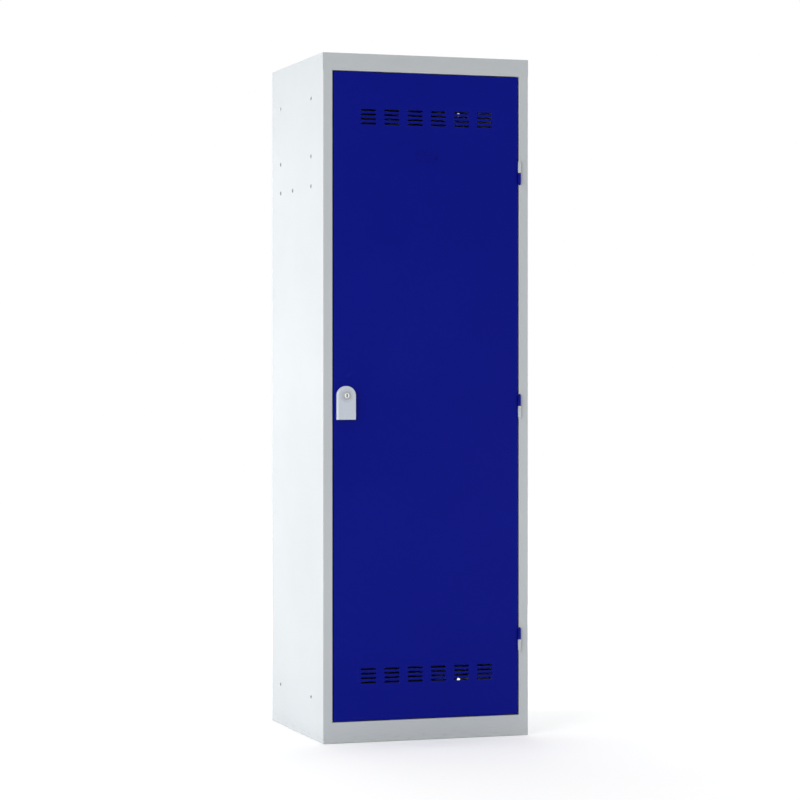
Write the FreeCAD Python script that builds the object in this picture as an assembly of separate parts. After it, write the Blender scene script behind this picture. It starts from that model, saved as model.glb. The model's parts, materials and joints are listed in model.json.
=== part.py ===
import FreeCAD, Part
import math
import os

# A single-door clothes locker in folded sheet steel. Millimetres, +Z up, front towards -Y, +X to the right.
# The origin is the middle of the footprint, on the floor.

V = FreeCAD.Vector

# Overall sizes
locker_width = 570.0
locker_height = 1800.0
carcass_depth = 500.0

# Sheet metal
carcass_sheet = 0.8
door_sheet = 0.8
inner_bend = 1.2
bend_relief = 1.0
weld_gap = 0.1
lap = 1.0

# Front frame
stile_width = 26.0
head_height = 46.0
plinth_height = 55.0
stop_lip = 12.0
stop_gap = 1.5

# Carcass flanges
rear_flange = 14.0
foot_flange = 20.0
foot_setback = 30.0
roof_flange = 15.0
floor_flange = 20.0
plinth_foot = 20.0

# Holes in the carcass
wall_hole_radius = 4.5
wall_hole_from_side = 21.0
wall_hole_from_floor = 93.0
wall_hole_from_top = 101.0
link_hole_radius = 4.5
link_hole_from_ends = 110.0
front_row = 112.0
rear_row_from_back = 90.0

# Hat shelf
shelf_below_top = 253.0
shelf_setback = 85.0
shelf_front_flange = 25.0
shelf_front_hem = 10.0
shelf_side_flange = 20.0
shelf_rear_flange = 15.0
shelf_rivet_drop = 10.0

# Rivets
rivet_radius = 2.0
rivet_head_radius = 6.0
rivet_head_height = 1.3
rivet_tail_radius = 3.2
rivet_tail_height = 1.5
rivet_clearance = 0.05

# Hanging rail and its sockets
rail_below_shelf = 89.0
rail_setback = 290.0
rail_radius = 10.0
rail_wall = 1.2
rail_clearance = 0.15
rail_end_play = 0.3
socket_base_radius = 18.0
socket_base = 2.0
socket_wall = 2.5
socket_depth = 14.0

# Coat hooks
hook_width = 16.0
hook_sheet = 2.0
hook_bend = 7.0
hook_above_rivet = 9.0
hook_drop = 34.0
hook_reach = 26.0
hook_tip = 20.0

# Door pan
door_depth = 20.0
door_hem = 12.0
gap_lock_side = 3.0
gap_hinge_side = 3.0
gap_top = 2.0
gap_bottom = 2.0

# Vents: two rows of groups of slots
vent_groups = 6
vent_slots = 4
vent_group_pitch = 64.5
vent_slot_pitch = 11.6
vent_slot_width = 41.5
vent_slot_height = 5.5
vent_from_edge = 116.5

# Door stiffener, a hat section behind the door skin
stiffener_crown = 36.0
stiffener_flange = 14.0
stiffener_depth = 14.0
stiffener_clear_of_vents = 60.0

# Label holder
label_width = 53.0
label_height = 22.0
label_below_door_top = 218.0
label_depth = 2.2
label_sheet = 0.6
label_bend = 0.3
label_lip = 4.0

# Lift-off hinges
hinge_above_door_bottom = 199.0
hinge_below_door_top = 254.0
hinge_forward = 4.0
hinge_radius = 4.0
hinge_half = 32.0
hinge_taper = 5.0
hinge_tip_radius = 2.4
hinge_leaf = 1.6
hinge_leaf_depth = 17.0
hinge_pin_radius = 2.25
hinge_pin_depth = 22.0
hinge_fit = 0.05
hinge_washer = 1.0
hinge_washer_rim = 0.2
hinge_washer_play = 0.05

# Rubber buffers on the lock-side stop lip
buffer_radius = 4.5
buffer_play = 0.2
buffer_from_door_ends = 240.0

# Lock housing, which is also the finger pull
lock_inset = 32.0
lock_above_middle = 2.0
housing_width = 50.0
housing_below_axis = 63.0
housing_projection = 14.0
housing_wall = 3.0
housing_edge = 2.5
grip_roof_drop = 20.0
grip_corner = 8.0

# Lock cylinder and plug
barrel_radius = 9.0
barrel_clearance = 0.1
bezel_radius = 10.0
bezel_proud = 1.5
bezel_chamfer = 0.6
plug_radius = 6.0
plug_head_radius = 7.0
plug_head = 2.5
plug_recess = 0.5
plug_fit = 0.05
keyway_width = 2.2
keyway_height = 8.5
keyway_depth = 12.0
nut_sides = 6
nut_across_flats = 24.0
nut_thickness = 5.0
nut_chamfer = 1.1

# Cam behind the stop lip
cam_clearance = 0.8
cam_sheet = 2.0
cam_width = 15.0
cam_reach = 32.0
cam_play = 0.1
tang_half = 3.5
tang_clearance = 0.05
cam_screw_radius = 2.0
cam_screw_length = 9.0
cam_screw_head_radius = 4.5
cam_screw_head = 2.4
screw_head_chamfer = 0.7
screw_slot_width = 1.0
screw_slot_depth = 1.0

# Screws that hold the housing from inside the door
housing_screw_x = 16.0
housing_screw_drop = 12.0
housing_screw_radius = 1.5
housing_screw_clearance = 0.15
housing_screw_length = 9.0
housing_screw_head_radius = 3.2
housing_screw_head = 1.8

# Clearance where a thread would mesh
thread_clearance = 0.05

# Margin by which a cutting tool passes a face
past = 1.0

# Places worked out from the sizes above
half_width = locker_width / 2
front_reach = housing_projection + bezel_proud
front_y = (front_reach - carcass_depth) / 2
back_y = front_y + carcass_depth
inner_half = half_width - carcass_sheet
outer_bend = inner_bend + carcass_sheet
stop_y = front_y + door_depth + stop_gap
opening_half = half_width - stile_width
opening_top = locker_height - head_height
lip_half = opening_half - stop_lip
sheet_fit_half = inner_half - weld_gap
rear_stop_y = back_y - 2 * carcass_sheet - weld_gap
door_left = -opening_half + gap_lock_side
door_right = opening_half - gap_hinge_side
door_bottom = plinth_height + gap_bottom
door_top = opening_top - gap_top
door_centre = (door_left + door_right) / 2
skin_back = front_y + door_sheet
hinge_x = opening_half
hinge_y = front_y - hinge_forward
hinge_lowest = door_bottom + hinge_above_door_bottom
hinge_highest = door_top - hinge_below_door_top
hinge_levels = {
    "bottom": hinge_lowest,
    "middle": (hinge_lowest + hinge_highest) / 2,
    "top": hinge_highest,
}
buffer_levels = (door_bottom + buffer_from_door_ends, door_top - buffer_from_door_ends)
label_level = door_top - label_below_door_top
lock_x = door_left + lock_inset
lock_level = (door_bottom + door_top) / 2 + lock_above_middle
housing_radius = housing_width / 2
housing_front = front_y - housing_projection
cam_front = stop_y + carcass_sheet + cam_clearance
cam_back = cam_front + cam_sheet
bezel_front = -housing_projection - bezel_proud
barrel_end = cam_front - cam_play - front_y
plug_front = bezel_front + plug_recess
plug_shoulder = plug_front + plug_head
tang_end = cam_back - front_y
shelf_top = locker_height - shelf_below_top
shelf_rivet_level = shelf_top - shelf_rivet_drop
shelf_front = front_y + shelf_setback
rail_level = shelf_top - rail_below_shelf
rail_y = front_y + rail_setback
wall_hole_x = half_width - wall_hole_from_side
wall_hole_levels = (wall_hole_from_floor, locker_height - wall_hole_from_top)

# Places on a side wall, as depth behind the front and level
rear_row = carcass_depth - rear_row_from_back
link_levels = (link_hole_from_ends, locker_height - link_hole_from_ends)
link_places = [(row, level) for row in (front_row, rear_row) for level in link_levels]
shelf_rivet_places = [(front_row, shelf_rivet_level), (rear_row, shelf_rivet_level)]
hook_places = {"front": (front_row, rail_level), "rear": (rear_row, rail_level)}
rail_place = (rail_setback, rail_level)


def block(x0, x1, y0, y1, z0, z1):
    """Box between two corners."""
    return Part.makeBox(x1 - x0, y1 - y0, z1 - z0, V(x0, y0, z0))


def mirrored(shape):
    """The same piece on the other side of the locker."""
    return shape.mirror(V(0, 0, 0), V(1, 0, 0))


def in_plan(u, v):
    """Point seen from above, with v towards the back."""
    return V(u, v, 0)


def in_side_view(u, v):
    """Point seen from the right, with u towards the back and v up."""
    return V(0, u, v)


def in_front_view(u, v):
    """Point seen from the front, with v up."""
    return V(u, 0, v)


def folded(path, side, view, start, length, sheet=carcass_sheet, inner=inner_bend):
    """Sheet folded along a path and drawn out square to the view, from start over length.

    The path runs along one face of the sheet. The sheet lies to the left of the path where side is 1,
    and to the right where it is -1. Each corner of the path becomes a bend.
    """
    points = [V(u, v, 0) for u, v in path]
    runs = [(after - before).normalize() for before, after in zip(points, points[1:])]
    lefts = [V(-run.y, run.x, 0) for run in runs]
    near = []
    far = []

    def add_line(edges, begin, end):
        edges.append(Part.LineSegment(view(begin.x, begin.y), view(end.x, end.y)).toShape())

    def add_arc(edges, begin, centre, end, radius):
        outward = ((begin - centre) + (end - centre)).normalize()
        middle = centre + outward * radius
        arc = Part.Arc(view(begin.x, begin.y), view(middle.x, middle.y), view(end.x, end.y))
        edges.append(arc.toShape())

    near_end = points[0]
    far_end = near_end + lefts[0] * (side * sheet)
    for corner, before, after, left, next_left in zip(points[1:], runs, runs[1:], lefts, lefts[1:]):
        angle = math.atan2(before.cross(after).z, before.dot(after))
        turn = math.copysign(1, angle)
        radius = inner + sheet if turn == side else inner
        far_radius = radius - turn * side * sheet
        setback = radius * math.tan(abs(angle) / 2)
        arc_start = corner - before * setback
        arc_end = corner + after * setback
        centre = arc_start + left * (turn * radius)
        far_start = arc_start + left * (side * sheet)
        far_arc_end = arc_end + next_left * (side * sheet)
        add_line(near, near_end, arc_start)
        add_arc(near, arc_start, centre, arc_end, radius)
        add_line(far, far_end, far_start)
        add_arc(far, far_start, centre, far_arc_end, far_radius)
        near_end = arc_end
        far_end = far_arc_end
    last = points[-1]
    far_last = last + lefts[-1] * (side * sheet)
    add_line(near, near_end, last)
    add_line(far, far_end, far_last)
    end_cap = []
    start_cap = []
    add_line(end_cap, last, far_last)
    add_line(start_cap, points[0] + lefts[0] * (side * sheet), points[0])
    outline = Part.Wire(near + end_cap + far[::-1] + start_cap)
    across = view(1, 0).cross(view(0, 1))
    across = V(abs(across.x), abs(across.y), abs(across.z))
    face = Part.Face(outline)
    face.translate(across * start)
    return face.extrude(across * length)


def tray(x0, x1, y0, y1, flanges, hems, sheet=carcass_sheet):
    """Flat sheet with its top at z = 0 and edges folded down, all in one piece with open corners.

    flanges gives the depth of each folded edge by side, and hems the width of a second fold inwards.
    """
    bend = inner_bend + sheet
    low_x = x0 + bend if "left" in flanges else x0
    high_x = x1 - bend if "right" in flanges else x1
    low_y = y0 + bend if "front" in flanges else y0
    high_y = y1 - bend if "rear" in flanges else y1
    pieces = [block(low_x, high_x, low_y, high_y, -sheet, 0)]
    edges = {
        "left": (x0, 1, in_front_view, low_y, high_y),
        "right": (x1, -1, in_front_view, low_y, high_y),
        "front": (y0, 1, in_side_view, low_x, high_x),
        "rear": (y1, -1, in_side_view, low_x, high_x),
    }
    for name, depth in flanges.items():
        edge, inwards, view, begin, end = edges[name]
        path = [(edge, -depth), (edge, 0), (edge + inwards * (bend + lap), 0)]
        hem = hems.get(name, 0)
        if hem:
            path.insert(0, (edge + inwards * hem, -depth))
        strip = folded(path, -inwards, view, begin, end - begin, sheet)
        if hem and view is in_side_view:
            for side, sign in (("left", -1), ("right", 1)):
                limit = (x1 if sign > 0 else x0) - sign * (hems.get(side, 0) + bend_relief)
                corner = sorted((limit, limit + sign * (hem + bend)))
                inner = sorted((edge - inwards * past, edge + inwards * (hem + past)))
                strip = strip.cut(block(*corner, *inner, -depth - past, -depth + bend))
        pieces.append(strip)
    return pieces[0].fuse(pieces[1:]).removeSplitter()


def hole_along_x(radius, x, y, z):
    """Tool for a round hole through a side wall whose outer face is at x."""
    return Part.makeCylinder(radius, 2 * past + 2 * carcass_sheet, V(x - past, y, z), V(1, 0, 0))


def rivet(grip):
    """Blind rivet along +X: a low domed head before x = 0, a shank over the grip, and its set tail."""
    dome = (rivet_head_radius ** 2 + rivet_head_height ** 2) / (2 * rivet_head_height)
    angle = math.asin(rivet_head_radius / dome) / 2
    top = V(-rivet_head_height, 0, 0)
    crown = V(-rivet_head_height + dome * (1 - math.cos(angle)), dome * math.sin(angle), 0)
    rim = V(0, rivet_head_radius, 0)
    tail_end = grip + rivet_tail_height
    corners = [
        rim,
        V(0, rivet_radius, 0),
        V(grip, rivet_radius, 0),
        V(grip, rivet_tail_radius, 0),
        V(tail_end, rivet_radius, 0),
        V(tail_end, 0, 0),
        top,
    ]
    edges = [Part.Arc(top, crown, rim).toShape()]
    for begin, end in zip(corners, corners[1:]):
        edges.append(Part.LineSegment(begin, end).toShape())
    return Part.Face(Part.Wire(edges)).revolve(V(0, 0, 0), V(1, 0, 0), 360)


def rivets_on_both_sides(places, grip):
    """A rivet from outside at each depth and level, on the left and on the right."""
    group = []
    for depth, level in places:
        left = rivet(grip)
        left.translate(V(-half_width, front_y + depth, level))
        group.append(left)
        group.append(mirrored(left))
    return Part.makeCompound(group)


def side_panel():
    """Left side in one sheet: rear flange, wall, stile, return and stop lip, with a foot flange below."""
    path = [
        (-half_width + rear_flange, back_y - carcass_sheet),
        (-half_width, back_y - carcass_sheet),
        (-half_width, front_y),
        (-opening_half, front_y),
        (-opening_half, stop_y),
        (-lip_half, stop_y),
    ]
    panel = folded(path, 1, in_plan, 0, locker_height)
    above = locker_height + past
    outside = -half_width - past
    behind_lip = stop_y + 2 * outer_bend
    corner_end = front_y + outer_bend + weld_gap
    head_corner = block(outside, 0, front_y - past, corner_end, opening_top, above)
    head_return = block(-inner_half, 0, front_y - past, behind_lip, opening_top, above)
    foot_height = outer_bend + lap
    foot_front = front_y + foot_setback
    foot_rear = back_y - carcass_sheet - outer_bend - bend_relief
    foot_slot = block(outside, -inner_half + past, foot_front - bend_relief, foot_rear, -past, foot_height)
    holes = [hole_along_x(link_hole_radius, -half_width, front_y + y, z) for y, z in link_places]
    for depth, level in shelf_rivet_places + list(hook_places.values()) + [rail_place]:
        radius = rivet_radius + rivet_clearance
        holes.append(hole_along_x(radius, -half_width, front_y + depth, level))
    panel = panel.cut([head_corner, head_return, foot_slot] + holes)
    foot_path = [(-half_width + foot_flange, 0), (-half_width, 0), (-half_width, foot_height)]
    foot_length = foot_rear - bend_relief - foot_front
    foot = folded(foot_path, -1, in_front_view, foot_front, foot_length)
    return panel.fuse(foot).removeSplitter()


def roof_panel():
    """Roof folded down into the head band, its return and its stop lip, with flanges inside the sides."""
    path = [
        (back_y - carcass_sheet, locker_height - roof_flange),
        (back_y - carcass_sheet, locker_height),
        (front_y, locker_height),
        (front_y, opening_top),
        (stop_y, opening_top),
        (stop_y, opening_top - stop_lip),
    ]
    panel = folded(path, 1, in_side_view, -half_width, locker_width)
    edge = sheet_fit_half - outer_bend
    rear_half = half_width - rear_flange - weld_gap
    lip_end = lip_half - weld_gap
    plate_front = front_y + outer_bend
    plate_low = opening_top + 2 * outer_bend
    return_end = stop_y - inner_bend
    flange_front = stop_y + 2 * outer_bend
    top = locker_height + past
    cuts = [
        block(sheet_fit_half, half_width + past, plate_front, back_y, 0, top),
        block(edge, half_width + past, plate_front, back_y, plate_low, top),
        block(rear_half, half_width + past, rear_stop_y, back_y, plate_low, top),
        block(lip_end, half_width + past, return_end, flange_front, 0, plate_low),
    ]
    panel = panel.cut(cuts + [mirrored(tool) for tool in cuts])
    flange_path = [
        (-sheet_fit_half, locker_height - roof_flange),
        (-sheet_fit_half, locker_height),
        (-edge + lap, locker_height),
    ]
    flange_length = rear_stop_y - bend_relief - flange_front
    flange = folded(flange_path, -1, in_front_view, flange_front, flange_length)
    return panel.fuse([flange, mirrored(flange)]).removeSplitter()


def plinth_front():
    """Band below the door, with a foot on the floor, a sill and the stop lip behind the door."""
    path = [
        (front_y + plinth_foot, 0),
        (front_y, 0),
        (front_y, plinth_height),
        (stop_y, plinth_height),
        (stop_y, plinth_height + stop_lip),
    ]
    half = opening_half - weld_gap
    band = folded(path, -1, in_side_view, -half, 2 * half)
    lip_end = lip_half - weld_gap
    behind = stop_y + 2 * outer_bend
    above = plinth_height + stop_lip + past
    corner = block(lip_end, half + past, stop_y - inner_bend, behind, 0, above)
    return band.cut([corner, mirrored(corner)])


def floor_panel():
    """Floor of the compartment, under the sill at the front and flanged down at the sides and rear."""
    floor_front = front_y + outer_bend + lap
    flanges = {"left": floor_flange, "right": floor_flange, "rear": floor_flange}
    panel = tray(-sheet_fit_half, sheet_fit_half, floor_front, rear_stop_y, flanges, {})
    notch_x = lip_half - weld_gap
    notch_y = stop_y + outer_bend
    notch = block(notch_x, half_width, front_y, notch_y, -floor_flange - past, past)
    panel = panel.cut([notch, mirrored(notch)])
    panel.translate(V(0, 0, plinth_height - carcass_sheet))
    return panel


def back_panel():
    """Flat back sheet behind the rear flanges, with four holes for fixing to a wall."""
    half = half_width - outer_bend
    panel = block(-half, half, back_y - carcass_sheet, back_y, 0, locker_height - outer_bend)
    through = carcass_sheet + 2 * past
    holes = []
    for x in (-wall_hole_x, wall_hole_x):
        for z in wall_hole_levels:
            holes.append(Part.makeCylinder(wall_hole_radius, through, V(x, back_y + past, z), V(0, -1, 0)))
    return panel.cut(holes)


def hat_shelf():
    """Shelf with a hemmed front edge and flanges riveted to the sides."""
    flanges = {
        "left": shelf_side_flange,
        "right": shelf_side_flange,
        "front": shelf_front_flange,
        "rear": shelf_rear_flange,
    }
    hems = {"front": shelf_front_hem}
    shelf = tray(-sheet_fit_half, sheet_fit_half, shelf_front, rear_stop_y, flanges, hems)
    shelf.translate(V(0, 0, shelf_top))
    holes = []
    for depth, level in shelf_rivet_places:
        radius = rivet_radius + rivet_clearance
        holes.append(hole_along_x(radius, -sheet_fit_half, front_y + depth, level))
    return shelf.cut(holes + [mirrored(hole) for hole in holes])


def rail_socket():
    """Left end socket: a round base on the side wall with a collar that the rail drops into."""
    bore = rail_radius + rail_clearance
    base_x = -inner_half
    along = V(1, 0, 0)
    at = V(base_x, rail_y, rail_level)
    socket = Part.makeCylinder(socket_base_radius, socket_base, at, along)
    socket = socket.fuse(Part.makeCylinder(bore + socket_wall, socket_depth, at, along))
    inside = V(base_x + socket_base, rail_y, rail_level)
    socket = socket.cut(Part.makeCylinder(bore, socket_depth, inside, along))
    hole = Part.makeCylinder(rivet_radius + rivet_clearance, socket_base + past, at, along)
    return socket.cut(hole).removeSplitter()


def hanging_rail():
    """Round tube between the two sockets."""
    end = inner_half - socket_base - rivet_tail_height - rail_end_play
    start = V(-end, rail_y, rail_level)
    along = V(1, 0, 0)
    tube = Part.makeCylinder(rail_radius, 2 * end, start, along)
    return tube.cut(Part.makeCylinder(rail_radius - rail_wall, 2 * end, start, along))


def coat_hook(depth, level):
    """Left coat hook: a strip on the side wall, bent out and up into a rounded prong."""
    wall = -inner_half
    path = [
        (wall, level + hook_above_rivet),
        (wall, level - hook_drop),
        (wall + hook_reach, level - hook_drop),
        (wall + hook_reach, level - hook_drop + hook_tip),
    ]
    y = front_y + depth
    hook = folded(path, 1, in_front_view, y - hook_width / 2, hook_width, hook_sheet, hook_bend)
    along = V(1, 0, 0)
    plate_end = (wall - past, level + hook_above_rivet)
    prong_end = (wall + hook_reach / 2, level - hook_drop + hook_tip)
    rounds = []
    for foot, end in (plate_end, prong_end):
        centre = end - hook_width / 2
        square = block(foot, foot + hook_reach, y - hook_width, y + hook_width, centre, end + past)
        disc = Part.makeCylinder(hook_width / 2, hook_reach, V(foot, y, centre), along)
        rounds.append(square.cut(disc))
    hole = Part.makeCylinder(rivet_radius + rivet_clearance, hook_sheet + past, V(wall, y, level), along)
    return hook.cut(rounds + [hole])


def hinge_knuckle(leaf_low_x):
    """One hinge half with its mating face at z = 0 and its rounded tip upwards, bored for the pin."""
    straight = hinge_half - hinge_taper
    barrel = Part.makeCylinder(hinge_radius, straight)
    tip = Part.makeCone(hinge_radius, hinge_tip_radius, hinge_taper, V(0, 0, straight))
    leaf_end = hinge_forward + hinge_leaf_depth
    leaf = block(leaf_low_x, leaf_low_x + hinge_leaf, 0, leaf_end, 0, straight)
    bore = Part.makeCylinder(hinge_pin_radius + hinge_fit, hinge_pin_depth)
    return barrel.fuse([tip, leaf]).removeSplitter().cut(bore)


def place_on_hinge(shape, level, pointing_up):
    """Turn a hinge piece made about z = 0 the right way up and move it to its level."""
    if not pointing_up:
        shape = shape.mirror(V(0, 0, 0), V(0, 0, 1))
    shape.translate(V(hinge_x, hinge_y, level))
    return shape


def hinge(level, frame_above):
    """Frame half, pin, washer and door half of one lift-off hinge."""
    side = 1 if frame_above else -1
    half_washer = hinge_washer / 2
    frame_half = place_on_hinge(hinge_knuckle(-hinge_leaf), level + side * half_washer, frame_above)
    door_face = level - side * (half_washer + hinge_washer_play)
    door_half = place_on_hinge(hinge_knuckle(-gap_hinge_side), door_face, not frame_above)
    pin_length = 2 * hinge_pin_depth + hinge_washer
    pin = Part.makeCylinder(hinge_pin_radius, pin_length, V(0, 0, -pin_length / 2))
    pin = place_on_hinge(pin, level, True)
    washer = Part.makeCylinder(hinge_radius - hinge_washer_rim, hinge_washer, V(0, 0, -half_washer))
    washer = washer.cut(Part.makeCylinder(hinge_pin_radius + hinge_fit, hinge_washer, V(0, 0, -half_washer)))
    washer = place_on_hinge(washer, level, True)
    return {"frame_half": frame_half, "pin": pin, "washer": washer, "door_half": door_half}


def door_buffers():
    """Rubber discs on the lock-side stop lip, just short of the closed door."""
    x = -opening_half + stop_lip / 2
    height = stop_gap - buffer_play
    discs = [Part.makeCylinder(buffer_radius, height, V(x, stop_y, z), V(0, -1, 0)) for z in buffer_levels]
    return Part.makeCompound(discs)


def vent_slot(x, z):
    """Tool for one round-ended slot through the door skin."""
    radius = vent_slot_height / 2
    reach = vent_slot_width / 2 - radius
    y = front_y - past
    corners = [V(x - reach, y, z + radius), V(x + reach, y, z + radius)]
    corners += [V(x + reach, y, z - radius), V(x - reach, y, z - radius)]
    edges = [
        Part.LineSegment(corners[0], corners[1]).toShape(),
        Part.Arc(corners[1], V(x + reach + radius, y, z), corners[2]).toShape(),
        Part.LineSegment(corners[2], corners[3]).toShape(),
        Part.Arc(corners[3], V(x - reach - radius, y, z), corners[0]).toShape(),
    ]
    return Part.Face(Part.Wire(edges)).extrude(V(0, 2 * past + door_sheet, 0))


def vent_levels():
    """Middle of the lower and of the upper row of vents."""
    return (door_bottom + vent_from_edge, door_top - vent_from_edge)


def housing_screw_places():
    """Place across the door and level of each screw that holds the lock housing."""
    return [(lock_x + side * housing_screw_x, lock_level - housing_screw_drop) for side in (-1, 1)]


def door_panel():
    """Door pan folded on four sides and hemmed, with vents, the lock hole and screw holes."""
    flanges = dict.fromkeys(("left", "right", "front", "rear"), door_depth)
    hems = dict.fromkeys(("left", "right", "front", "rear"), door_hem)
    pan = tray(door_left, door_right, door_bottom, door_top, flanges, hems, door_sheet)
    pan.rotate(V(0, 0, 0), V(1, 0, 0), 90)
    pan.translate(V(0, front_y, 0))
    tools = []
    for row in vent_levels():
        for group in range(vent_groups):
            x = door_centre + (group - (vent_groups - 1) / 2) * vent_group_pitch
            for slot in range(vent_slots):
                z = row + (slot - (vent_slots - 1) / 2) * vent_slot_pitch
                tools.append(vent_slot(x, z))
    through = 2 * past + door_sheet
    start_y = front_y - past
    lock_hole = V(lock_x, start_y, lock_level)
    tools.append(Part.makeCylinder(barrel_radius + barrel_clearance, through, lock_hole, V(0, 1, 0)))
    for x, z in housing_screw_places():
        radius = housing_screw_radius + housing_screw_clearance
        tools.append(Part.makeCylinder(radius, through, V(x, start_y, z), V(0, 1, 0)))
    return pan.cut(tools)


def door_stiffener():
    """Hat section down the middle of the door, between the two rows of vents."""
    half_crown = stiffener_crown / 2
    foot = half_crown + stiffener_flange
    crest = skin_back + stiffener_depth
    path = [
        (door_centre - foot, skin_back),
        (door_centre - half_crown, skin_back),
        (door_centre - half_crown, crest),
        (door_centre + half_crown, crest),
        (door_centre + half_crown, skin_back),
        (door_centre + foot, skin_back),
    ]
    low, high = vent_levels()
    length = high - low - 2 * stiffener_clear_of_vents
    return folded(path, 1, in_plan, low + stiffener_clear_of_vents, length, door_sheet)


def label_holder():
    """Card holder: a channel with lips above and below, closed at its right end."""
    low = label_level - label_height / 2
    high = label_level + label_height / 2
    lip_y = front_y - label_depth
    path = [
        (lip_y, low + label_lip),
        (lip_y, low),
        (front_y, low),
        (front_y, high),
        (lip_y, high),
        (lip_y, high - label_lip),
    ]
    left = door_centre - label_width / 2
    right = door_centre + label_width / 2
    channel = folded(path, 1, in_side_view, left, label_width, label_sheet, label_bend)
    corner = label_sheet + label_bend
    stop = block(right - label_sheet, right, lip_y, front_y, low + corner, high - corner)
    return channel.fuse(stop).removeSplitter()


def housing_outline(radius, bottom, y):
    """Face with a half-round top about the lock axis and straight sides down to a level."""
    left = V(lock_x - radius, y, lock_level)
    right = V(lock_x + radius, y, lock_level)
    low_left = V(lock_x - radius, y, bottom)
    low_right = V(lock_x + radius, y, bottom)
    edges = [
        Part.Arc(left, V(lock_x, y, lock_level + radius), right).toShape(),
        Part.LineSegment(right, low_right).toShape(),
        Part.LineSegment(low_right, low_left).toShape(),
        Part.LineSegment(low_left, left).toShape(),
    ]
    return Part.Face(Part.Wire(edges))


def lock_housing():
    """Moulded grip: half round above about the lock, hollow and open below for the fingers."""
    bottom = lock_level - housing_below_axis
    body = housing_outline(housing_radius, bottom, housing_front).extrude(V(0, housing_projection, 0))
    rim = [edge for edge in body.Edges if edge.BoundBox.YMax < housing_front + past / 2]
    body = body.makeFillet(housing_edge, rim)
    grip_half = housing_radius - housing_wall
    grip_top = lock_level - grip_roof_drop
    hollow = block(
        lock_x - grip_half, lock_x + grip_half,
        housing_front + housing_wall, front_y + past,
        bottom - past, grip_top,
    )
    roof_edges = []
    for edge in hollow.Edges:
        along_y = edge.BoundBox.YLength > housing_projection / 2
        if along_y and edge.BoundBox.ZMin > grip_top - past:
            roof_edges.append(edge)
    hollow = hollow.makeFillet(grip_corner, roof_edges)
    hole_start = V(lock_x, housing_front - past, lock_level)
    radius = barrel_radius + barrel_clearance
    tools = [hollow, Part.makeCylinder(radius, housing_projection + 2 * past, hole_start, V(0, 1, 0))]
    for x, z in housing_screw_places():
        pilot = housing_screw_radius + thread_clearance
        depth = housing_screw_length - door_sheet + past / 2
        tools.append(Part.makeCylinder(pilot, depth, V(x, front_y, z), V(0, -1, 0)))
    return body.cut(tools)


def turned_about_lock(profile):
    """Solid of revolution about the lock axis from points of depth behind the front face and radius."""
    points = [V(lock_x + radius, front_y + depth, lock_level) for depth, radius in profile]
    face = Part.Face(Part.makePolygon(points + points[:1]))
    return face.revolve(V(lock_x, front_y, lock_level), V(0, 1, 0), 360)


def lock_cylinder():
    """Barrel with a front bezel, bored for the plug and its wider head."""
    profile = [
        (bezel_front, plug_head_radius + plug_fit),
        (bezel_front, bezel_radius - bezel_chamfer),
        (bezel_front + bezel_chamfer, bezel_radius),
        (-housing_projection, bezel_radius),
        (-housing_projection, barrel_radius),
        (barrel_end, barrel_radius),
        (barrel_end, plug_radius + plug_fit),
        (plug_shoulder, plug_radius + plug_fit),
        (plug_shoulder, plug_head_radius + plug_fit),
    ]
    return turned_about_lock(profile)


def lock_plug():
    """Turning plug with its keyway in front and a square tang for the cam behind."""
    profile = [
        (plug_front, 0),
        (plug_front, plug_head_radius),
        (plug_shoulder, plug_head_radius),
        (plug_shoulder, plug_radius),
        (barrel_end, plug_radius),
        (barrel_end, 0),
    ]
    plug = turned_about_lock(profile)
    low_x = lock_x - tang_half
    high_x = lock_x + tang_half
    low_z = lock_level - tang_half
    high_z = lock_level + tang_half
    tang = block(low_x, high_x, front_y + barrel_end, front_y + tang_end, low_z, high_z)
    keyway = block(
        lock_x - keyway_width / 2, lock_x + keyway_width / 2,
        front_y + plug_front - past, front_y + plug_front + keyway_depth,
        lock_level - keyway_height / 2, lock_level + keyway_height / 2,
    )
    screw_depth = cam_screw_length + past
    screw_hole = Part.makeCylinder(
        cam_screw_radius + thread_clearance, screw_depth,
        V(lock_x, front_y + tang_end, lock_level), V(0, -1, 0),
    )
    return plug.fuse(tang).cut([keyway, screw_hole])


def lock_cam():
    """Flat cam on the tang, hanging down at rest and turning behind the stop lip to lock."""
    half = cam_width / 2
    outline = [
        Part.Arc(
            V(lock_x - half, cam_front, lock_level),
            V(lock_x, cam_front, lock_level + half),
            V(lock_x + half, cam_front, lock_level),
        ).toShape(),
    ]
    tip = lock_level - cam_reach
    tip_half = half - cam_sheet
    corners = [
        V(lock_x + half, cam_front, lock_level),
        V(lock_x + tip_half, cam_front, tip),
        V(lock_x - tip_half, cam_front, tip),
        V(lock_x - half, cam_front, lock_level),
    ]
    for begin, end in zip(corners, corners[1:]):
        outline.append(Part.LineSegment(begin, end).toShape())
    cam = Part.Face(Part.Wire(outline)).extrude(V(0, cam_sheet, 0))
    reach = tang_half + tang_clearance
    seat = block(
        lock_x - reach, lock_x + reach, cam_front - past, cam_back + past,
        lock_level - reach, lock_level + reach,
    )
    return cam.cut(seat)


def slotted_screw(radius, length, head_radius, head):
    """Screw along -Y from the seat of its head at the origin, with a slot across the head."""
    along = V(0, -1, 0)
    shank = Part.makeCylinder(radius, length, V(0, 0, 0), along)
    cap = Part.makeCylinder(head_radius, head, V(0, head, 0), along)
    far_rim = [edge for edge in cap.Edges if edge.BoundBox.YMin > head / 2]
    cap = cap.makeChamfer(screw_head_chamfer, far_rim)
    slot = block(
        -head_radius, head_radius, head - screw_slot_depth, head + past,
        -screw_slot_width / 2, screw_slot_width / 2,
    )
    return cap.cut(slot).fuse(shank)


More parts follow.
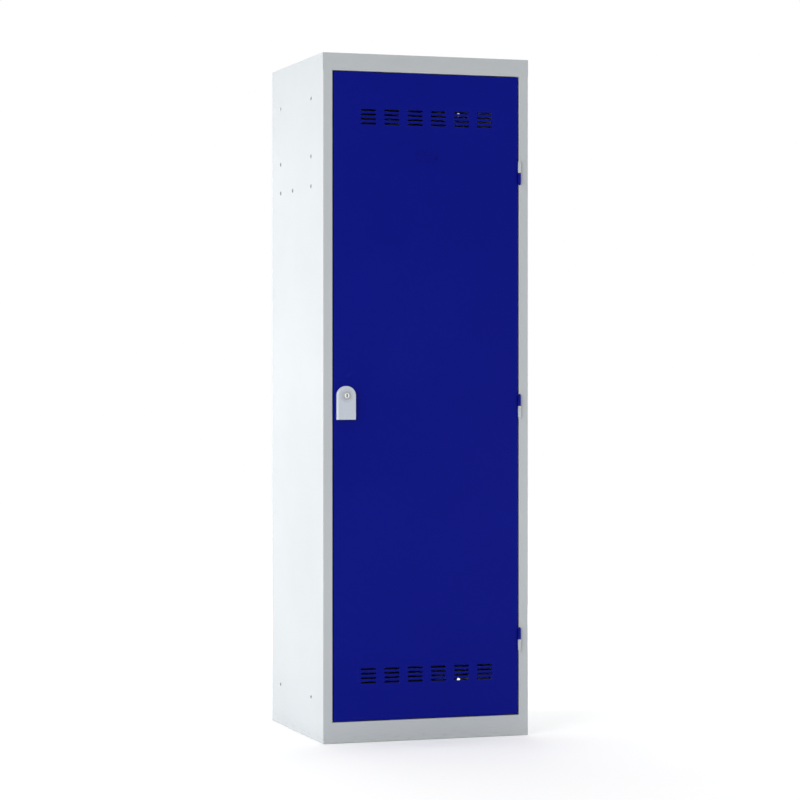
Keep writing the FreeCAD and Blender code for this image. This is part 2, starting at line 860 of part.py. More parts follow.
def cam_screw():
    """Screw that holds the cam on the plug."""
    screw = slotted_screw(cam_screw_radius, cam_screw_length, cam_screw_head_radius, cam_screw_head)
    screw.translate(V(lock_x, cam_back, lock_level))
    return screw


def lock_screws():
    """Two screws from inside the door into the housing."""
    screws = []
    for x, z in housing_screw_places():
        screw = slotted_screw(
            housing_screw_radius, housing_screw_length, housing_screw_head_radius, housing_screw_head
        )
        screw.translate(V(x, skin_back, z))
        screws.append(screw)
    return Part.makeCompound(screws)


def lock_nut():
    """Hexagon nut that clamps the barrel behind the door skin."""
    corner_radius = nut_across_flats / 2 / math.cos(math.pi / nut_sides)
    corners = []
    for side in range(nut_sides + 1):
        angle = 2 * math.pi * side / nut_sides
        x = lock_x + corner_radius * math.cos(angle)
        z = lock_level + corner_radius * math.sin(angle)
        corners.append(V(x, skin_back, z))
    nut = Part.Face(Part.makePolygon(corners)).extrude(V(0, nut_thickness, 0))
    nut_back = door_sheet + nut_thickness
    round_off = [
        (door_sheet, 0),
        (door_sheet, corner_radius),
        (nut_back - nut_chamfer, corner_radius),
        (nut_back, nut_across_flats / 2),
        (nut_back, 0),
    ]
    nut = nut.common(turned_about_lock(round_off))
    bore_radius = barrel_radius + thread_clearance
    bore_start = V(lock_x, skin_back - past, lock_level)
    return nut.cut(Part.makeCylinder(bore_radius, nut_thickness + 2 * past, bore_start, V(0, 1, 0)))


def build():
    """Every piece by its name."""
    left_side = side_panel()
    left_socket = rail_socket()
    pieces = {
        "left_side_panel": left_side,
        "right_side_panel": mirrored(left_side),
        "roof_panel": roof_panel(),
        "plinth_front": plinth_front(),
        "floor_panel": floor_panel(),
        "back_panel": back_panel(),
        "hat_shelf": hat_shelf(),
        "shelf_rivets": rivets_on_both_sides(shelf_rivet_places, 2 * carcass_sheet + weld_gap),
        "hanging_rail": hanging_rail(),
        "rail_socket_left": left_socket,
        "rail_socket_right": mirrored(left_socket),
        "rail_rivets": rivets_on_both_sides([rail_place], carcass_sheet + socket_base),
        "hook_rivets": rivets_on_both_sides(hook_places.values(), carcass_sheet + hook_sheet),
        "door_buffers": door_buffers(),
        "door_panel": door_panel(),
        "door_stiffener": door_stiffener(),
        "label_holder": label_holder(),
        "lock_housing": lock_housing(),
        "lock_cylinder": lock_cylinder(),
        "lock_nut": lock_nut(),
        "lock_screws": lock_screws(),
        "lock_plug": lock_plug(),
        "lock_cam": lock_cam(),
        "cam_screw": cam_screw(),
    }
    for row, (depth, level) in hook_places.items():
        hook = coat_hook(depth, level)
        pieces["coat_hook_left_" + row] = hook
        pieces["coat_hook_right_" + row] = mirrored(hook)
    for name, level in hinge_levels.items():
        halves = hinge(level, name == "top")
        pieces["hinge_frame_half_" + name] = halves["frame_half"]
        pieces["hinge_pin_" + name] = halves["pin"]
        pieces["hinge_washer_" + name] = halves["washer"]
        pieces["hinge_door_half_" + name] = halves["door_half"]
    return pieces


os.makedirs("parts", exist_ok=True)
for name, shape in build().items():
    shape.exportStep(os.path.join("parts", name + ".step"))
    state = "valid" if shape.isValid() else "NOT VALID"
    print(name, len(shape.Solids), "solids", state, round(shape.Volume, 1))
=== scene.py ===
"""Looks of a single-door steel clothes locker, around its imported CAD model. Metres, front towards -Y."""

import json
import math

import bmesh
import bpy
from mathutils import Matrix, Vector


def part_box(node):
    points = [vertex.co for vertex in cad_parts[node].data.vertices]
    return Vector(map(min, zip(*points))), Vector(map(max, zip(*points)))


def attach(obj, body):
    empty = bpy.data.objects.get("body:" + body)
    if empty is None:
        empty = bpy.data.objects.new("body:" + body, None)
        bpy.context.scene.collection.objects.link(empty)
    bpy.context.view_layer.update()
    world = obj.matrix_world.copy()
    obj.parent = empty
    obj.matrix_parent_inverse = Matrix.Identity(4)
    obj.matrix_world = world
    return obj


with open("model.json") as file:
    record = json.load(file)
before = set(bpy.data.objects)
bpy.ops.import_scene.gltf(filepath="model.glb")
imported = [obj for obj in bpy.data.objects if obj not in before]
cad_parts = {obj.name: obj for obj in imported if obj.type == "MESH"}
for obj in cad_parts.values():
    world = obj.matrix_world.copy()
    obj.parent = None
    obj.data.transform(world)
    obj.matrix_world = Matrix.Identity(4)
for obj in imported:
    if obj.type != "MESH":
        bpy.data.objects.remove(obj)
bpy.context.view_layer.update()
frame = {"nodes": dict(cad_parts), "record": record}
nodes = frame["nodes"]

# Units and directions
millimetre = 0.001
rightwards = Vector((1, 0, 0))
rearwards = Vector((0, 1, 0))
upwards = Vector((0, 0, 1))

# Camera, as fitted to the edges of the photographed locker
image_size = 800
focal_pixels = 2638.8
principal_x = 397.4
principal_y = 370.67
view_azimuth = math.radians(18.066)
view_distance = 7.187
view_height = 0.9714
sensor_width = 36.0

# Places on the locker
front_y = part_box("roof_panel")[0].y
back_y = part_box("back_panel")[1].y
locker_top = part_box("roof_panel")[1].z
lock_low, lock_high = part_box("lock_cylinder")
lock_axis = (lock_low + lock_high) / 2
plug_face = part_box("lock_plug")[0].y

# Sizes of the solids, which the finishes and the added detail follow
barrel_radius = 0.009
plug_radius = 0.007
keyway_reach = 0.0052
sheet = 0.0008
fold_radius = 0.002
stop_lip = 0.012


def srgb(red, green, blue):
    """Linear colour with alpha from display values of 0 to 255."""
    channels = []
    for value in (red, green, blue):
        share = value / 255
        channels.append(share / 12.92 if share <= 0.04045 else ((share + 0.055) / 1.055) ** 2.4)
    return (*channels, 1.0)


def grey(level):
    """Linear grey with alpha."""
    return (level, level, level, 1.0)


# Colours of dirt and wear, and of painted shade and painted highlight
floor_dirt = srgb(120, 118, 114)
settled_dust = srgb(176, 172, 164)
# Painted shade on the housing round the lock
painted_lock_shade = srgb(140, 142, 145)
# Painted shade in the seam round the lock's plug
painted_seam_shade = srgb(60, 61, 62)
# Painted shade at the keyway's mouth
painted_keyway_shade = srgb(40, 41, 42)
# Painted shade inside the keyway
painted_keyway_inner_shade = srgb(26, 26, 27)
# Paler edges of the housing: partly wear, partly a painted highlight
pale_edge_wear_and_highlight = srgb(220, 225, 232)
dark_plastic_edge = srgb(120, 120, 120)


class Surface:
    """A node material on the shape's own coordinates, with short calls for the nodes that it needs."""

    def __init__(self, name):
        self.material = bpy.data.materials.new(name)
        self.material.use_nodes = True
        self.tree = self.material.node_tree
        self.shader = self.tree.nodes["Principled BSDF"]
        self.place = self.add("ShaderNodeTexCoord").outputs["Object"]
        self.axes = self.add("ShaderNodeSeparateXYZ", Vector=self.place).outputs
        self.normal = self.add("ShaderNodeNewGeometry").outputs["Normal"]
        self.facing = self.add("ShaderNodeSeparateXYZ", Vector=self.normal).outputs

    def add(self, kind, settings=None, **values):
        """New node, with its settings and with a value or a link for each named input."""
        node = self.tree.nodes.new(kind)
        for key, value in (settings or {}).items():
            setattr(node, key, value)
        for key, value in values.items():
            self.put(node.inputs[key], value)
        return node

    def put(self, socket, value):
        """A value or a link on one socket."""
        if isinstance(value, bpy.types.NodeSocket):
            self.tree.links.new(value, socket)
        else:
            socket.default_value = value

    def set(self, **values):
        """Values or links on the shader, with underscores for the spaces in a socket's name."""
        for key, value in values.items():
            self.put(self.shader.inputs[key.replace("_", " ")], value)

    def noise(self, scale, detail=2.0, roughness=0.5, stretch=(1, 1, 1), lean=0.0):
        """Noise from 0 to 1 with so many features to a metre, stretched along axes that lean sideways."""
        leant = self.add("ShaderNodeMapping", Vector=self.place, Rotation=(0, lean, 0)).outputs["Vector"]
        placed = self.add("ShaderNodeMapping", Vector=leant, Scale=stretch).outputs["Vector"]
        made = self.add("ShaderNodeTexNoise", Vector=placed, Scale=scale, Detail=detail, Roughness=roughness)
        return made.outputs["Fac"]

    def math(self, operation, first, second=0.0):
        """Result of a sum on one or two values."""
        node = self.add("ShaderNodeMath", {"operation": operation})
        self.put(node.inputs[0], first)
        self.put(node.inputs[1], second)
        return node.outputs["Value"]

    def ramp(self, value, low, high, to_low=0.0, to_high=1.0):
        """Smooth step of a value from one level to another."""
        node = self.add("ShaderNodeMapRange", {"interpolation_type": "SMOOTHSTEP"}, Value=value)
        limits = {"From Min": low, "From Max": high, "To Min": to_low, "To Max": to_high}
        for key, limit in limits.items():
            self.put(node.inputs[key], limit)
        return node.outputs["Result"]

    def clouds(self, scale, detail, roughness=0.5, low=0.3, high=0.7, to_low=0.0, to_high=1.0):
        """Soft patches, so many to a metre: noise with its middle levels spread over a range."""
        return self.ramp(self.noise(scale, detail, roughness), low, high, to_low, to_high)

    def mix(self, share, first, second):
        """Colour between two colours."""
        node = self.add("ShaderNodeMix", {"data_type": "RGBA"})
        self.put(node.inputs["Factor"], share)
        self.put(node.inputs["A"], first)
        self.put(node.inputs["B"], second)
        return node.outputs["Result"]

    def bump(self, height, depth, strength=1.0, under=None):
        """Relief of a height texture, so many metres deep, on top of another relief."""
        node = self.add("ShaderNodeBump", Height=height, Distance=depth, Strength=strength)
        if under is not None:
            self.put(node.inputs["Normal"], under)
        return node.outputs["Normal"]

    def edges(self, radius, flat=0.98, sharp=0.8):
        """Share for edge wear and for a painted edge highlight, 1 on the sharp edges of the shape and 0 on
        its flats.
        """
        rounded = self.add("ShaderNodeBevel", {"samples": 4}, Radius=radius).outputs["Normal"]
        product = self.add("ShaderNodeVectorMath", {"operation": "DOT_PRODUCT"})
        self.put(product.inputs[0], rounded)
        self.put(product.inputs[1], self.normal)
        return self.ramp(product.outputs["Value"], flat, sharp)

    def scratches(self, scale, lean, share, line_edge=0.007, line_core=0.002):
        """Fine straight scratches, all leaning one way, along the middle level of a long-drawn noise."""
        level = self.noise(scale, detail=0.0, stretch=(1, 1, 0.03), lean=lean)
        off_line = self.math("ABSOLUTE", self.math("SUBTRACT", level, 0.5))
        return self.ramp(off_line, line_edge, line_core, to_high=share)

    def from_lock_axis(self, axis):
        """Offset from the lock's axis along X or Z."""
        return self.math("SUBTRACT", self.axes[axis], getattr(lock_axis, axis.lower()))

    def distance_from_lock(self):
        """Distance from the lock's axis, seen from the front."""
        across = self.from_lock_axis("X")
        upright = self.from_lock_axis("Z")
        flat = self.add("ShaderNodeCombineXYZ", X=across, Z=upright).outputs["Vector"]
        return self.add("ShaderNodeVectorMath", {"operation": "LENGTH"}, Vector=flat).outputs["Value"]


def powder_coat(name, colour, shade, worn, roughness, reflectance, dust):
    """Satin powder coat with orange peel.

    It is dusty on top, scuffed at the floor, thin on its edges and scratched round the lock.
    """
    coat = Surface(name)
    tone = coat.mix(coat.clouds(2.5, 3.0), colour, shade)
    speckle = coat.clouds(1400, 1.0, low=0.45, high=0.75, to_high=0.1)
    tone = coat.mix(speckle, tone, worn)
    at_floor = coat.ramp(coat.axes["Z"], 0.05, 0.0)
    streaks = coat.noise(110, 5.0, 0.65, stretch=(0.3, 0.3, 2.0))
    scuffs = coat.ramp(streaks, 0.5, 0.7, to_low=0.04, to_high=0.24)
    tone = coat.mix(coat.math("MULTIPLY", at_floor, scuffs), tone, floor_dirt)
    facing_up = coat.ramp(coat.facing["Z"], 0.7, 0.98)
    film = coat.clouds(9, 6.0, 0.7, high=0.75, to_low=dust / 2, to_high=dust)
    tone = coat.mix(coat.math("MULTIPLY", facing_up, film), tone, settled_dust)
    on_edges = coat.edges(0.0012)
    thin = coat.clouds(90, 4.0, low=0.4, to_low=0.1, to_high=0.6)
    tone = coat.mix(coat.math("MULTIPLY", on_edges, thin), tone, worn)
    from_lock = coat.distance_from_lock()
    near_lock = coat.ramp(from_lock, 0.11, 0.04)
    for lean, scale in ((0.5, 130), (-0.9, 110)):
        groups = coat.ramp(coat.noise(scale / 2, lean=lean), 0.54, 0.62)
        here = coat.math("MULTIPLY", near_lock, groups)
        scratched = coat.math("MULTIPLY", here, coat.scratches(scale, lean, share=0.45))
        tone = coat.mix(scratched, tone, worn)
    lock_surround = coat.ramp(from_lock, 0.16, 0.03, to_high=0.1)
    patches = coat.clouds(160, 3.0, to_low=roughness - 0.015, to_high=roughness + 0.025)
    dullness = coat.math("SUBTRACT", patches, lock_surround)
    coat.set(Base_Color=tone, Roughness=dullness, Specular_IOR_Level=reflectance)
    waves = coat.bump(coat.noise(4, 1.0, stretch=(1, 1, 0.4)), depth=0.0005, strength=0.2)
    orange_peel = coat.bump(coat.noise(600), depth=0.0003, strength=0.5, under=waves)
    coat.set(Normal=orange_peel)
    return coat.material


def grip_plastic():
    """Light moulded plastic with a fine grain, polished at its edges, with painted shade round the lock and
    paler edges that are partly a painted highlight.
    """
    plastic = Surface("housing_plastic_finish")
    tone = plastic.mix(plastic.clouds(240, 4.0, 0.7), srgb(208, 215, 225), srgb(203, 210, 220))
    # Painted shade on the housing round the lock: a patchy disc, and a ring at the lock's bezel.
    from_lock = plastic.distance_from_lock()
    shade_patches = plastic.clouds(120, 3.0, low=0.25, high=0.75, to_low=0.16, to_high=0.34)
    lock_surround = plastic.math("MULTIPLY", plastic.ramp(from_lock, 0.022, 0.013), shade_patches)
    tone = plastic.mix(lock_surround, tone, painted_lock_shade)
    shade_at_bezel = plastic.ramp(from_lock, 0.0125, 0.0105, to_high=0.3)
    tone = plastic.mix(shade_at_bezel, tone, painted_lock_shade)
    # Paler edges: partly wear, partly a painted highlight; their lower roughness is real polish.
    worn_highlit_edges = plastic.edges(0.0018)
    tone = plastic.mix(plastic.math("MULTIPLY", worn_highlit_edges, 0.3), tone, pale_edge_wear_and_highlight)
    grain = plastic.clouds(300, 2.0, to_low=0.46, to_high=0.58)
    polished = plastic.math("SUBTRACT", grain, plastic.math("MULTIPLY", worn_highlit_edges, 0.1))
    plastic.set(Base_Color=tone, Roughness=polished, Specular_IOR_Level=0.3)
    plastic.set(Normal=plastic.bump(plastic.noise(1500, 3.0), depth=0.0002, strength=0.5))
    return plastic.material


def metal(name, colour, shade, worn, roughness, grain, stretch=(1, 1, 1)):
    """Plated or bare metal with a drawn grain, cloudy plating and brighter edges."""
    plate = Surface(name)
    clouds = plate.clouds(70, 4.0, 0.6)
    tone = plate.mix(clouds, colour, shade)
    rubbed = plate.math("MULTIPLY", plate.edges(0.0006), 0.7)
    tone = plate.mix(rubbed, tone, worn)
    lines = plate.noise(grain, stretch=stretch)
    dull = plate.math("ADD", lines, plate.math("MULTIPLY", clouds, 0.4))
    plate.set(Base_Color=tone, Metallic=1.0, Normal=plate.bump(lines, depth=0.00004, strength=0.35))
    plate.set(Roughness=plate.ramp(dull, 0.4, 1.0, roughness - 0.06, roughness + 0.1))
    return plate.material


def lock_chrome():
    """Lock face turned in fine rings: a bright plug in a duller ring, with painted shade in the keyway and
    the seam.
    """
    plate = Surface("lock_metal_finish")
    radius = plate.distance_from_lock()
    rings = plate.math("SINE", plate.math("MULTIPLY", radius, 9000.0))
    clouds = plate.clouds(160, 3.0, low=0.35)
    plug = plate.mix(clouds, srgb(226, 227, 228), srgb(212, 213, 215))
    ring = plate.mix(clouds, srgb(176, 179, 181), srgb(160, 163, 165))
    off_plug = plate.ramp(radius, plug_radius - 0.0001, plug_radius + 0.0001)
    tone = plate.mix(off_plug, plug, ring)
    # Painted shade in the seam between the plug and the ring.
    off_seam = plate.math("ABSOLUTE", plate.math("SUBTRACT", radius, plug_radius))
    tone = plate.mix(plate.ramp(off_seam, 0.0007, 0.0001, to_high=0.75), tone, painted_seam_shade)
    # Painted shade at the keyway's mouth, and inside the keyway behind the plug's face.
    across = plate.math("ABSOLUTE", plate.from_lock_axis("X"))
    upright = plate.math("ABSOLUTE", plate.from_lock_axis("Z"))
    beside_keyway = plate.ramp(across, 0.0019, 0.0012)
    along_keyway = plate.ramp(upright, keyway_reach, 0.0043)
    keyway_mouth = plate.math("MULTIPLY", beside_keyway, along_keyway)
    tone = plate.mix(plate.math("MULTIPLY", keyway_mouth, 0.85), tone, painted_keyway_shade)
    behind_face = plate.ramp(plate.axes["Y"], plug_face + 0.0001, plug_face + 0.0006)
    inside = plate.math("MULTIPLY", behind_face, plate.ramp(radius, keyway_reach, 0.0046))
    tone = plate.mix(inside, tone, painted_keyway_inner_shade)
    plate.set(Base_Color=tone, Metallic=1.0, Normal=plate.bump(rings, depth=0.00002, strength=0.4))
    plate.set(Roughness=plate.clouds(240, 3.0, to_low=0.3, to_high=0.42))
    return plate.material


def moulded(name, colour, shade, roughness, grain):
    """Plain dark plastic or rubber with a moulded grain and paler rubbed edges."""
    skin = Surface(name)
    tone = skin.mix(skin.clouds(150, 4.0, 0.6), colour, shade)
    rubbed = skin.math("MULTIPLY", skin.edges(0.0008), 0.35)
    tone = skin.mix(rubbed, tone, dark_plastic_edge)
    dull = skin.clouds(500, 2.0, to_low=roughness - 0.08, to_high=roughness + 0.08)
    skin.set(Base_Color=tone, Roughness=dull, Specular_IOR_Level=0.35)
    skin.set(Normal=skin.bump(skin.noise(grain), depth=0.0001, strength=0.5))
    return skin.material


finishes = {
    "frame_paint": powder_coat(
        "frame_paint_finish",
        colour=srgb(198, 203, 206),
        shade=srgb(194, 199, 202),
        worn=srgb(214, 217, 219),
        roughness=0.42,
        reflectance=0.35,
        dust=0.16,
    ),
    "door_paint": powder_coat(
        "door_paint_finish",
        colour=srgb(9, 20, 136),
        shade=srgb(7, 18, 132),
        worn=srgb(40, 50, 150),
        roughness=0.44,
        reflectance=0.06,
        dust=0.04,
    ),
    "housing_plastic": grip_plastic(),
    "lock_metal": lock_chrome(),
    "plated_steel": metal(
        "plated_steel_finish",
        colour=srgb(190, 193, 197),
        shade=srgb(170, 174, 178),
        worn=srgb(216, 217, 218),
        roughness=0.34,
        grain=900,
        stretch=(0.03, 1, 1),
    ),
    "rivet_metal": metal(
        "rivet_metal_finish",
        colour=srgb(132, 134, 137),
        shade=srgb(118, 120, 123),
        worn=srgb(164, 166, 168),
        roughness=0.46,
        grain=1200,
    ),
    "socket_plastic": moulded(
        "socket_plastic_finish",
        colour=srgb(44, 45, 47),
        shade=srgb(36, 37, 39),
        roughness=0.5,
        grain=1500,
    ),
    "washer_brass": metal(
        "washer_brass_finish",
        colour=srgb(158, 138, 92),
        shade=srgb(136, 116, 74),
        worn=srgb(184, 164, 116),
        roughness=0.4,
        grain=900,
    ),
    "buffer_rubber": moulded(
        "buffer_rubber_finish",
        colour=srgb(26, 26, 26),
        shade=srgb(20, 20, 20),
        roughness=0.75,
        grain=1100,
    ),
}
for part in frame["record"]["subparts"]:
    nodes[part["node"]].material_slots[0].material = finishes[part["material_slot"]]


def add_skin(shape, rings):
    """Adds the skin through rings of points and closes both ends."""
    placed = [[shape.verts.new(point) for point in ring] for ring in rings]
    for first, second in zip(placed, placed[1:]):
        for i in range(len(first)):
            shape.faces.new((first[i - 1], first[i], second[i], second[i - 1]))
    shape.faces.new(placed[0][::-1])
    shape.faces.new(placed[-1])


def circle(steps):
    """Cosine and sine at even steps round a circle."""
    angles = [2 * math.pi * step / steps for step in range(steps)]
    return [(math.cos(angle), math.sin(angle)) for angle in angles]


def turned(shape, profile, foot, outward, steps=20):
    """Adds a form of revolution from points of radius and height in millimetres."""
    place = Matrix.Translation(foot) @ outward.to_track_quat("Z", "Y").to_matrix().to_4x4()
    rings = []
    for radius, height in profile:
        points = [Vector((radius * cosine, radius * sine, height)) for cosine, sine in circle(steps)]
        rings.append([place @ (point * millimetre) for point in points])
    add_skin(shape, rings)


def weld_bead(shape, x, y, low, high, radius=0.001, ripple=0.0016, swell=0.1, steps=12):
    """Adds a rippled bead of weld that stands upright, with rounded ends."""
    rings_to_a_ripple = 6
    blunt_end = 0.05
    length = high - low
    count = int(length / ripple * rings_to_a_ripple)
    rings = []
    for i in range(count + 1):
        along = length * i / count
        from_end = min(along, length - along)
        fade = math.sqrt(min(1.0, blunt_end + from_end / radius))
        reach = radius * fade * (1 + swell * math.sin(2 * math.pi * along / ripple))
        rings.append([(x + reach * cosine, y + reach * sine, low + along) for cosine, sine in circle(steps)])
    add_skin(shape, rings)


def seam_fill(shape, start, end, across, fade=0.002, end_sink=0.15):
    """Adds a weld ground flat in the groove between two folded edges, sinking in at both ends.

    The points of its section are in millimetres: across the groove, and behind the front face.
    """
    section = [(-4.0, 0.25), (-1.5, -0.01), (1.5, -0.01), (4.0, 0.25), (4.0, 0.6), (-4.0, 0.6)]
    along = end - start
    length = along.length
    rings = []
    for place, sunk in ((0, end_sink), (fade, 0), (length - fade, 0), (length, end_sink)):
        middle = start + along * (place / length)
        points = [across * side + rearwards * (depth + sunk) for side, depth in section]
        rings.append([middle + point * millimetre for point in points])
    add_skin(shape, rings)


def thread(shape, start, end, pitch=0.001, height=0.0005, root_sink=0.0002, steps=40):
    """Adds a thread's ridge round the lock barrel, fading out at both ends."""
    end_share = 0.1
    turns = (end - start) / pitch
    root = barrel_radius - root_sink
    rings = []
    for i in range(int(turns * steps) + 1):
        turn = i / steps
        angle = 2 * math.pi * turn
        crest = barrel_radius + height * min(1.0, end_share + turn, end_share + turns - turn)
        y = start + turn * pitch
        ring = []
        for radius, shift in ((root, -0.4), (crest, -0.06), (crest, 0.06), (root, 0.4)):
            x = lock_axis.x + radius * math.cos(angle)
            z = lock_axis.z + radius * math.sin(angle)
            ring.append((x, y + shift * pitch, z))
        rings.append(ring)
    add_skin(shape, rings)


def add_piece(name, body, slot, shape):
    """New piece from a filled mesh, in the finish of its slot, riding on a body."""
    bmesh.ops.recalc_face_normals(shape, faces=shape.faces)
    mesh = bpy.data.meshes.new(name)
    shape.to_mesh(mesh)
    shape.free()
    mesh.shade_smooth()
    mesh.set_sharp_from_angle(angle=math.radians(40))
    mesh.materials.append(finishes[slot])
    piece = bpy.data.objects.new(name, mesh)
    bpy.context.scene.collection.objects.link(piece)
    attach(piece, body)


def add_rivet_stems():
    """Collar and broken stem on the crown of each blind rivet in the sides."""
    collar = [(2.6, -0.3), (2.5, 0.15), (2.2, 0.4), (1.6, 0.42), (1.35, 0.3), (1.25, 0.08)]
    stem = [(1.05, 0.08), (1.0, 0.3), (0.8, 0.36)]
    crown_depth = 0.00001
    kept_digits = 4
    shape = bmesh.new()
    for name in ("shelf_rivets", "rail_rivets", "hook_rivets"):
        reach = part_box(name)[1].x - crown_depth
        points = [vertex.co for vertex in nodes[name].data.vertices if abs(vertex.co.x) > reach]
        crowns = {tuple(round(value, kept_digits) for value in point) for point in points}
        for crown in sorted(crowns):
            outward = rightwards * math.copysign(1, crown[0])
            turned(shape, collar + stem, Vector(crown), outward)
    add_piece("rivet_stems", "carcass", "rivet_metal", shape)


def spread(low, high, about):
    """Even places from low to high, about so far apart."""
    count = max(1, round((high - low) / about))
    return [low + (high - low) * i / count for i in range(count + 1)]


def back_weld_places():
    """Where the back sheet is welded to the sides, and to the floor and the roof."""
    side_inset, floor_level, roof_inset = 0.005, 0.043, 0.006
    lowest, below_top, from_corner = 0.1, 0.06, 0.04
    low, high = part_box("back_panel")
    columns = (low.x + side_inset, high.x - side_inset)
    rows = (floor_level, high.z - roof_inset)
    up = spread(lowest, high.z - below_top, about=0.16)
    across = spread(low.x + from_corner, high.x - from_corner, about=0.12)
    return [(x, back_y, z) for z in up for x in columns] + [(x, back_y, z) for z in rows for x in across]


def stiffener_weld_places():
    """Where the flanges of the door's stiffener are welded to the door."""
    flange_inset, from_end = 0.006, 0.03
    low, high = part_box("door_stiffener")
    columns = (low.x + flange_inset, high.x - flange_inset)
    up = spread(low.z + from_end, high.z - from_end, about=0.15)
    return [(x, low.y + sheet, z) for z in up for x in columns]


def add_spot_welds(name, body, slot, places):
    """Ringed marks of spot welds on the rear of a sheet."""
    profile = [(3.3, -0.2), (3.1, 0.05), (2.75, 0.26), (2.3, 0.2), (1.8, 0.05), (0.4, 0.02)]
    shape = bmesh.new()
    for place in places:
        turned(shape, profile, Vector(place), rearwards)
    add_piece(name, body, slot, shape)


def add_frame_seams():
    """Ground welds in the front frame, where the plinth and the head band meet the stiles."""
    plinth_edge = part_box("plinth_front")[1].x
    plinth_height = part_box("plinth_front")[1].z - stop_lip
    head_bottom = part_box("roof_panel")[0].z + stop_lip
    outer_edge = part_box("roof_panel")[1].x
    level = head_bottom + fold_radius / 2
    shape = bmesh.new()
    for side in (-1, 1):
        x = side * (plinth_edge + fold_radius / 2)
        low = Vector((x, front_y, fold_radius))
        high = Vector((x, front_y, plinth_height - fold_radius / 2))
        seam_fill(shape, low, high, rightwards)
        outer = Vector((side * (outer_edge - fold_radius / 2), front_y, level))
        inner = Vector((side * (plinth_edge + fold_radius), front_y, level))
        seam_fill(shape, outer, inner, upwards)
    add_piece("frame_seam_welds", "carcass", "frame_paint", shape)


def add_hinge_welds():
    """Beads along the rear edge of each hinge leaf."""
    bead_sink, end_gap = 0.0004, 0.006
    pin_low, pin_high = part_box("hinge_pin_top")
    stile_face = (pin_low.x + pin_high.x) / 2
    door_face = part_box("door_panel")[1].x
    halves = {
        "frame": (stile_face - bead_sink, "carcass", "frame_paint"),
        "door": (door_face + bead_sink, "door", "door_paint"),
    }
    for half, (x, body, slot) in halves.items():
        shape = bmesh.new()
        for name in ("top", "middle", "bottom"):
            low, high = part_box("hinge_" + half + "_half_" + name)
            weld_bead(shape, x, high.y, low.z + end_gap, high.z - end_gap)
        add_piece("hinge_welds_" + half, body, slot, shape)


def add_barrel_thread():
    """Thread on the lock barrel, from its nut to the cam."""
    end_gap = 0.001
    shape = bmesh.new()
    thread(shape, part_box("lock_nut")[1].y + end_gap, lock_high.y - end_gap)
    add_piece("barrel_thread", "door", "lock_metal", shape)


add_rivet_stems()
add_spot_welds("back_spot_welds", "carcass", "frame_paint", back_weld_places())
add_spot_welds("stiffener_spot_welds", "door", "door_paint", stiffener_weld_places())
add_frame_seams()
add_hinge_welds()
add_barrel_thread()


def add_camera():
    """Camera where the photograph was taken from, level, with the frame shifted as its edges show."""
    ahead = Vector((math.sin(view_azimuth), math.cos(view_azimuth), 0))
    middle = Vector((0, (front_y + back_y) / 2, view_height))
    data = bpy.data.cameras.new("camera")
    data.sensor_width = sensor_width
    data.lens = focal_pixels / image_size * sensor_width
    data.shift_x = (image_size / 2 - principal_x) / image_size
    data.shift_y = (principal_y - image_size / 2) / image_size
    camera = bpy.data.objects.new("camera", data)
    camera.location = middle - ahead * view_distance
    camera.rotation_euler = ahead.to_track_quat("-Z", "Y").to_euler()
    bpy.context.scene.collection.objects.link(camera)
    bpy.context.scene.camera = camera


def add_lamp(name, place, power, width, height):
    """Soft rectangular lamp aimed at the middle of the locker."""
    data = bpy.data.lights.new(name, "AREA")
    data.shape = "RECTANGLE"
    data.size = width
    data.size_y = height
    data.energy = power
    lamp = bpy.data.objects.new(name, data)
    lamp.location = place
    target = Vector((0, 0, locker_top / 2))
    lamp.rotation_euler = (target - lamp.location).to_track_quat("-Z", "Y").to_euler()
    bpy.context.scene.collection.objects.link(lamp)


def seen_directly(tree):
    """1 for what the camera sees, also in gloss and through glass, and 0 for the light on things."""
    path = tree.nodes.new("ShaderNodeLightPath")
    seen = path.outputs["Is Camera Ray"]
    for other in ("Is Glossy Ray", "Is Transmission Ray"):
        either = tree.nodes.new("ShaderNodeMath")
        either.operation = "MAXIMUM"
        tree.links.new(seen, either.inputs[0])
        tree.links.new(path.outputs[other], either.inputs[1])
        seen = either.outputs["Value"]
    return seen


def add_world(ambient):
    """White surroundings to look at, with a dimmer even light from all round."""
    world = bpy.data.worlds.new("studio")
    world.use_nodes = True
    tree = world.node_tree
    tree.nodes.clear()
    light = tree.nodes.new("ShaderNodeBackground")
    light.inputs["Strength"].default_value = ambient
    white = tree.nodes.new("ShaderNodeBackground")
    both = tree.nodes.new("ShaderNodeMixShader")
    out = tree.nodes.new("ShaderNodeOutputWorld")
    for background in (light, white):
        background.inputs["Color"].default_value = grey(1.0)
    tree.links.new(seen_directly(tree), both.inputs["Fac"])
    tree.links.new(light.outputs["Background"], both.inputs[1])
    tree.links.new(white.outputs["Background"], both.inputs[2])
    tree.links.new(both.outputs["Shader"], out.inputs["Surface"])
    bpy.context.scene.world = world


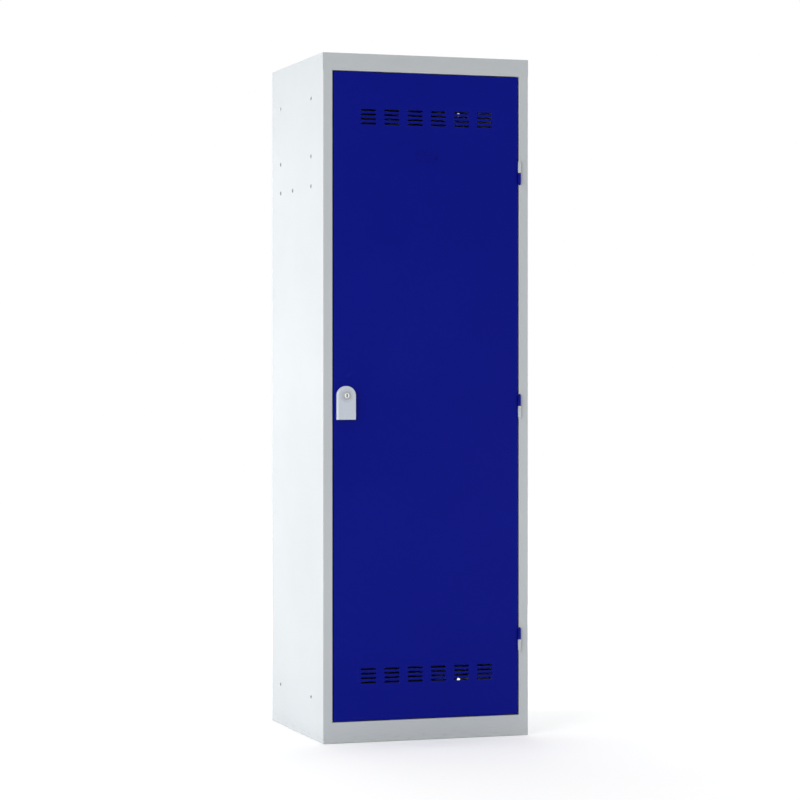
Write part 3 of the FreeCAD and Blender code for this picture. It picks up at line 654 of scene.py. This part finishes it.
def floor_finish(near=1.0, far=4.5, near_glow=0.24, far_glow=0.72):
    """Looks white and keeps a soft shadow, with more glow further out, where the lamps don't reach."""
    material = bpy.data.materials.new("floor_white")
    material.use_nodes = True
    tree = material.node_tree
    tree.nodes.clear()
    pale = tree.nodes.new("ShaderNodeBsdfDiffuse")
    pale.inputs["Color"].default_value = grey(0.8)
    shadow_share = tree.nodes.new("ShaderNodeBsdfDiffuse")
    shadow_share.inputs["Color"].default_value = grey(0.9)
    place = tree.nodes.new("ShaderNodeTexCoord")
    from_middle = tree.nodes.new("ShaderNodeVectorMath")
    from_middle.operation = "LENGTH"
    rise = tree.nodes.new("ShaderNodeMapRange")
    rise.interpolation_type = "SMOOTHSTEP"
    for key, limit in {"From Min": near, "From Max": far, "To Min": near_glow, "To Max": far_glow}.items():
        rise.inputs[key].default_value = limit
    glow = tree.nodes.new("ShaderNodeEmission")
    tree.links.new(place.outputs["Object"], from_middle.inputs[0])
    tree.links.new(from_middle.outputs["Value"], rise.inputs["Value"])
    tree.links.new(rise.outputs["Result"], glow.inputs["Strength"])
    shown = tree.nodes.new("ShaderNodeAddShader")
    both = tree.nodes.new("ShaderNodeMixShader")
    out = tree.nodes.new("ShaderNodeOutputMaterial")
    tree.links.new(shadow_share.outputs["BSDF"], shown.inputs[0])
    tree.links.new(glow.outputs["Emission"], shown.inputs[1])
    tree.links.new(seen_directly(tree), both.inputs["Fac"])
    tree.links.new(pale.outputs["BSDF"], both.inputs[1])
    tree.links.new(shown.outputs["Shader"], both.inputs[2])
    tree.links.new(both.outputs["Shader"], out.inputs["Surface"])
    return material


def add_floor(half, drop):
    """Pale floor just below the locker."""
    mesh = bpy.data.meshes.new("floor")
    corners = [(-half, -half, -drop), (half, -half, -drop), (half, half, -drop), (-half, half, -drop)]
    mesh.from_pydata(corners, [], [(0, 1, 2, 3)])
    floor = bpy.data.objects.new("floor", mesh)
    bpy.context.scene.collection.objects.link(floor)
    mesh.materials.append(floor_finish())


add_camera()
add_world(ambient=0.35)
add_floor(half=12.0, drop=0.0005)
add_lamp("key_left", (-4.6, -4.2, 2.1), power=155, width=3.0, height=2.8)
add_lamp("fill_right", (2.4, -2.4, 0.5), power=13, width=1.4, height=0.9)
add_lamp("side_left", (-3.6, 0.7, 0.95), power=77, width=2.2, height=1.7)
add_lamp("side_right", (3.4, 0.4, 1.1), power=48, width=2.2, height=1.7)
add_lamp("back_soft", (0.6, 3.6, 1.1), power=52, width=2.6, height=1.6)
add_lamp("top_soft", (0.05, 0.35, 4.8), power=42, width=2.4, height=2.4)
bpy.context.scene.view_settings.view_transform = "Standard"
